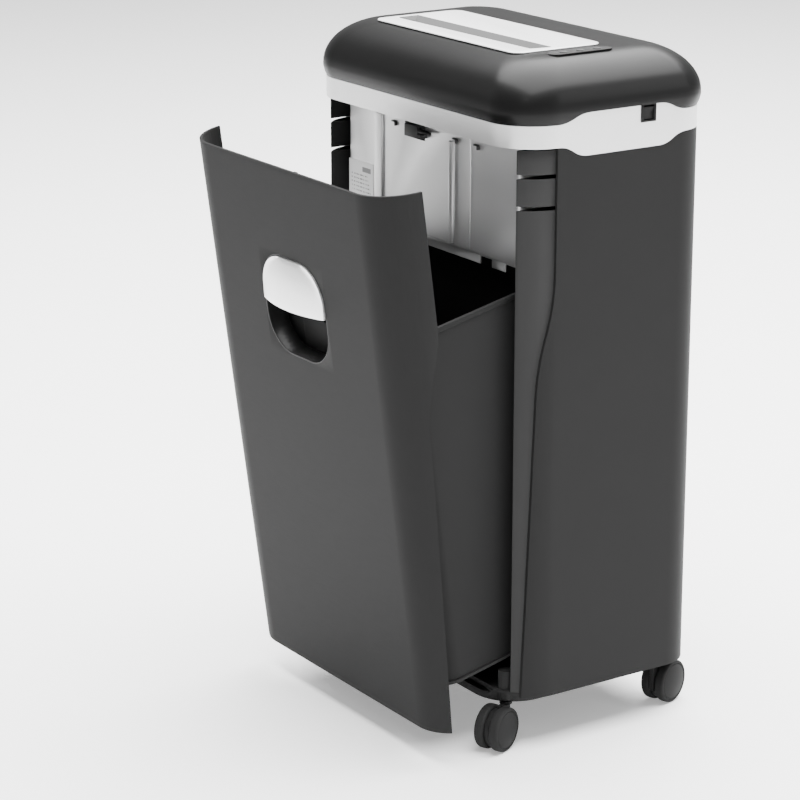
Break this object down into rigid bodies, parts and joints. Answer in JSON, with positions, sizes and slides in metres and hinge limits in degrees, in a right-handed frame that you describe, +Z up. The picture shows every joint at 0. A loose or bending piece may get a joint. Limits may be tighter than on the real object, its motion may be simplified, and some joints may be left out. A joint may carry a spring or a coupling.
{
  "type": "paper shredder",
  "caption": "Office paper shredder on casters with a pull-out waste bin behind a curved door, silver trim band and a feed slot on top.",
  "frame": {"origin": "centre of the cabinet's plan, on the floor", "axes": "+Z up, -Y to the front where the bin opens, +X to the right side"},
  "size_m": [0.3772, 0.4011, 0.7008],
  "materials": {
    "charcoal": "fine moulded texture, satin",
    "base_black": "matt moulded",
    "pillar_black": "matt moulded",
    "bin_black": "matt moulded",
    "silver_trim": "silver paint on plastic",
    "feed_silver": "silver paint on plastic",
    "housing_silver": "silver sheet",
    "gloss_black": "high gloss",
    "throat_grey": "moulded",
    "key_grey": "moulded",
    "switch_black": "moulded",
    "board_green": "circuit board",
    "label_white": "printed foil",
    "steel": "machined",
    "cutter_steel": "hardened, oiled",
    "bronze": "sintered",
    "gear_white": "moulded nylon",
    "motor_grey": "painted can",
    "rubber_black": "matt",
    "caster_black": "nylon",
    "caster_grey": "nylon"
  },
  "bodies": {
    "cabinet": {"base_tray": "base_black", "caster_sockets": "steel", "side_panel_right": "charcoal", "side_panel_left": "charcoal", "rear_panel": "charcoal", "cord_gland": "rubber_black", "front_pillar_right": "pillar_black", "front_pillar_left": "pillar_black", "trim_band": "silver_trim", "top_cover": "gloss_black", "feed_plate": "feed_silver", "throat_guide": "throat_grey", "control_bezel": "gloss_black", "control_board": "board_green", "rocker_frame": "switch_black", "head_deck": "housing_silver", "cutter_housing": "housing_silver", "rating_label": "label_white", "interlock_switch": "switch_black", "frame_plate_right": "steel", "frame_plate_left": "steel", "frame_rods": "steel", "shaft_bushes": "bronze", "stripper_combs": "throat_grey", "motor": "motor_grey", "cabinet_screws": "steel"},
    "heel_carriage": {"heel_axle": "steel"},
    "bin_unit": {"door_panel": "charcoal", "handle_cup": "gloss_black", "handle_grip": "silver_trim", "waste_bin": "bin_black", "bin_carrier": "base_black", "door_screws": "steel"},
    "heel_rollers": {"heel_rollers": "rubber_black"},
    "rocker": {"power_rocker": "switch_black"},
    "key_reverse": {"key_reverse": "key_grey"},
    "key_power": {"key_power": "key_grey"},
    "key_forward": {"key_forward": "key_grey"},
    "safety_lever": {"interlock_lever": "switch_black"},
    "cutter_rear": {"cutter_shaft_rear": "steel", "cutter_discs_rear": "cutter_steel", "cutter_gears_rear": "cutter_steel"},
    "cutter_front": {"cutter_shaft_front": "steel", "cutter_discs_front": "cutter_steel", "sync_gear_front": "cutter_steel"},
    "idler": {"idler_gear": "gear_white"},
    "motor_rotor": {"motor_shaft": "steel", "motor_pinion": "bronze"},
    "swivel_front_right": {"caster_hood_front_right": "caster_black"},
    "wheels_front_right": {"caster_wheels_front_right": "caster_grey"},
    "swivel_front_left": {"caster_hood_front_left": "caster_black"},
    "wheels_front_left": {"caster_wheels_front_left": "caster_grey"},
    "swivel_rear_right": {"caster_hood_rear_right": "caster_black"},
    "wheels_rear_right": {"caster_wheels_rear_right": "caster_grey"},
    "swivel_rear_left": {"caster_hood_rear_left": "caster_black"},
    "wheels_rear_left": {"caster_wheels_rear_left": "caster_grey"}
  },
  "joints": [
    {"name": "bin_pull", "type": "slide", "parent": "cabinet", "child": "heel_carriage", "axis": [0, -1, 0], "range_m": [-0.0822, 0]},
    {"name": "bin_tilt", "type": "hinge", "parent": "heel_carriage", "child": "bin_unit", "pos_m": [0, -0.0357, 0.0728], "axis": [1, 0, 0], "range_deg": [-7.6, 0]},
    {"name": "roller_spin", "type": "hinge", "parent": "heel_carriage", "child": "heel_rollers", "pos_m": [0, -0.0357, 0.0728], "axis": [1, 0, 0], "range_deg": [-410, 0]},
    {"name": "swivel_front_right", "type": "hinge", "parent": "cabinet", "child": "swivel_front_right", "pos_m": [0.152, -0.1, 0], "axis": [0, 0, 1], "continuous": true},
    {"name": "roll_front_right", "type": "hinge", "parent": "swivel_front_right", "child": "wheels_front_right", "pos_m": [0.15918, -0.11651, 0.023], "axis": [0.9171, 0.3987, 0], "continuous": true},
    {"name": "swivel_front_left", "type": "hinge", "parent": "cabinet", "child": "swivel_front_left", "pos_m": [-0.152, -0.1, 0], "axis": [0, 0, 1], "continuous": true},
    {"name": "roll_front_left", "type": "hinge", "parent": "swivel_front_left", "child": "wheels_front_left", "pos_m": [-0.15874, -0.11669, 0.023], "axis": [0.9272, -0.3746, 0], "continuous": true},
    {"name": "swivel_rear_right", "type": "hinge", "parent": "cabinet", "child": "swivel_rear_right", "pos_m": [0.156, 0.088, 0], "axis": [0, 0, 1], "continuous": true},
    {"name": "roll_rear_right", "type": "hinge", "parent": "swivel_rear_right", "child": "wheels_rear_right", "pos_m": [0.15029, 0.10507, 0.023], "axis": [-0.9483, -0.3173, 0], "continuous": true},
    {"name": "swivel_rear_left", "type": "hinge", "parent": "cabinet", "child": "swivel_rear_left", "pos_m": [-0.156, 0.088, 0], "axis": [0, 0, 1], "continuous": true},
    {"name": "roll_rear_left", "type": "hinge", "parent": "swivel_rear_left", "child": "wheels_rear_left", "pos_m": [-0.15104, 0.1053, 0.023], "axis": [-0.9613, 0.2756, 0], "continuous": true},
    {"name": "rocker_throw", "type": "hinge", "parent": "cabinet", "child": "rocker", "pos_m": [0.183, 0.036, 0.641], "axis": [0, 1, 0], "range_deg": [-12, 0]},
    {"name": "key_reverse_press", "type": "slide", "parent": "cabinet", "child": "key_reverse", "axis": [0, 0, -1], "range_m": [0, 0.001], "stiffness_N_per_m": 300, "springref_m": -0.0005},
    {"name": "key_power_press", "type": "slide", "parent": "cabinet", "child": "key_power", "axis": [0, 0, -1], "range_m": [0, 0.001], "stiffness_N_per_m": 300, "springref_m": -0.0005},
    {"name": "key_forward_press", "type": "slide", "parent": "cabinet", "child": "key_forward", "axis": [0, 0, -1], "range_m": [0, 0.001], "stiffness_N_per_m": 300, "springref_m": -0.0005},
    {"name": "lever_swing", "type": "hinge", "parent": "cabinet", "child": "safety_lever", "pos_m": [-0.0125, -0.0964, 0.604], "axis": [0, 0, 1], "range_deg": [0, 8], "stiffness_Nm_per_rad": 0.02, "springref_deg": -5.73},
    {"name": "cutter_rear_spin", "type": "hinge", "parent": "cabinet", "child": "cutter_rear", "pos_m": [0, -0.019, 0.59], "axis": [1, 0, 0], "continuous": true},
    {"name": "cutter_front_spin", "type": "hinge", "parent": "cabinet", "child": "cutter_front", "pos_m": [0, -0.055, 0.59], "axis": [1, 0, 0], "continuous": true},
    {"name": "idler_spin", "type": "hinge", "parent": "cabinet", "child": "idler", "pos_m": [0, 0.01609, 0.5751], "axis": [1, 0, 0], "continuous": true},
    {"name": "motor_spin", "type": "hinge", "parent": "cabinet", "child": "motor_rotor", "pos_m": [0, 0.05227, 0.56194], "axis": [1, 0, 0], "continuous": true}
  ],
  "couplings": [
    {"joint": "bin_tilt", "follows": "bin_pull", "rad_per_m": 1.6135},
    {"joint": "roller_spin", "follows": "bin_pull", "rad_per_m": 86.957},
    {"joint": "cutter_front_spin", "follows": "cutter_rear_spin", "ratio": -1},
    {"joint": "idler_spin", "follows": "cutter_rear_spin", "ratio": -2.5882},
    {"joint": "motor_spin", "follows": "cutter_rear_spin", "ratio": 9.1349}
  ]
}
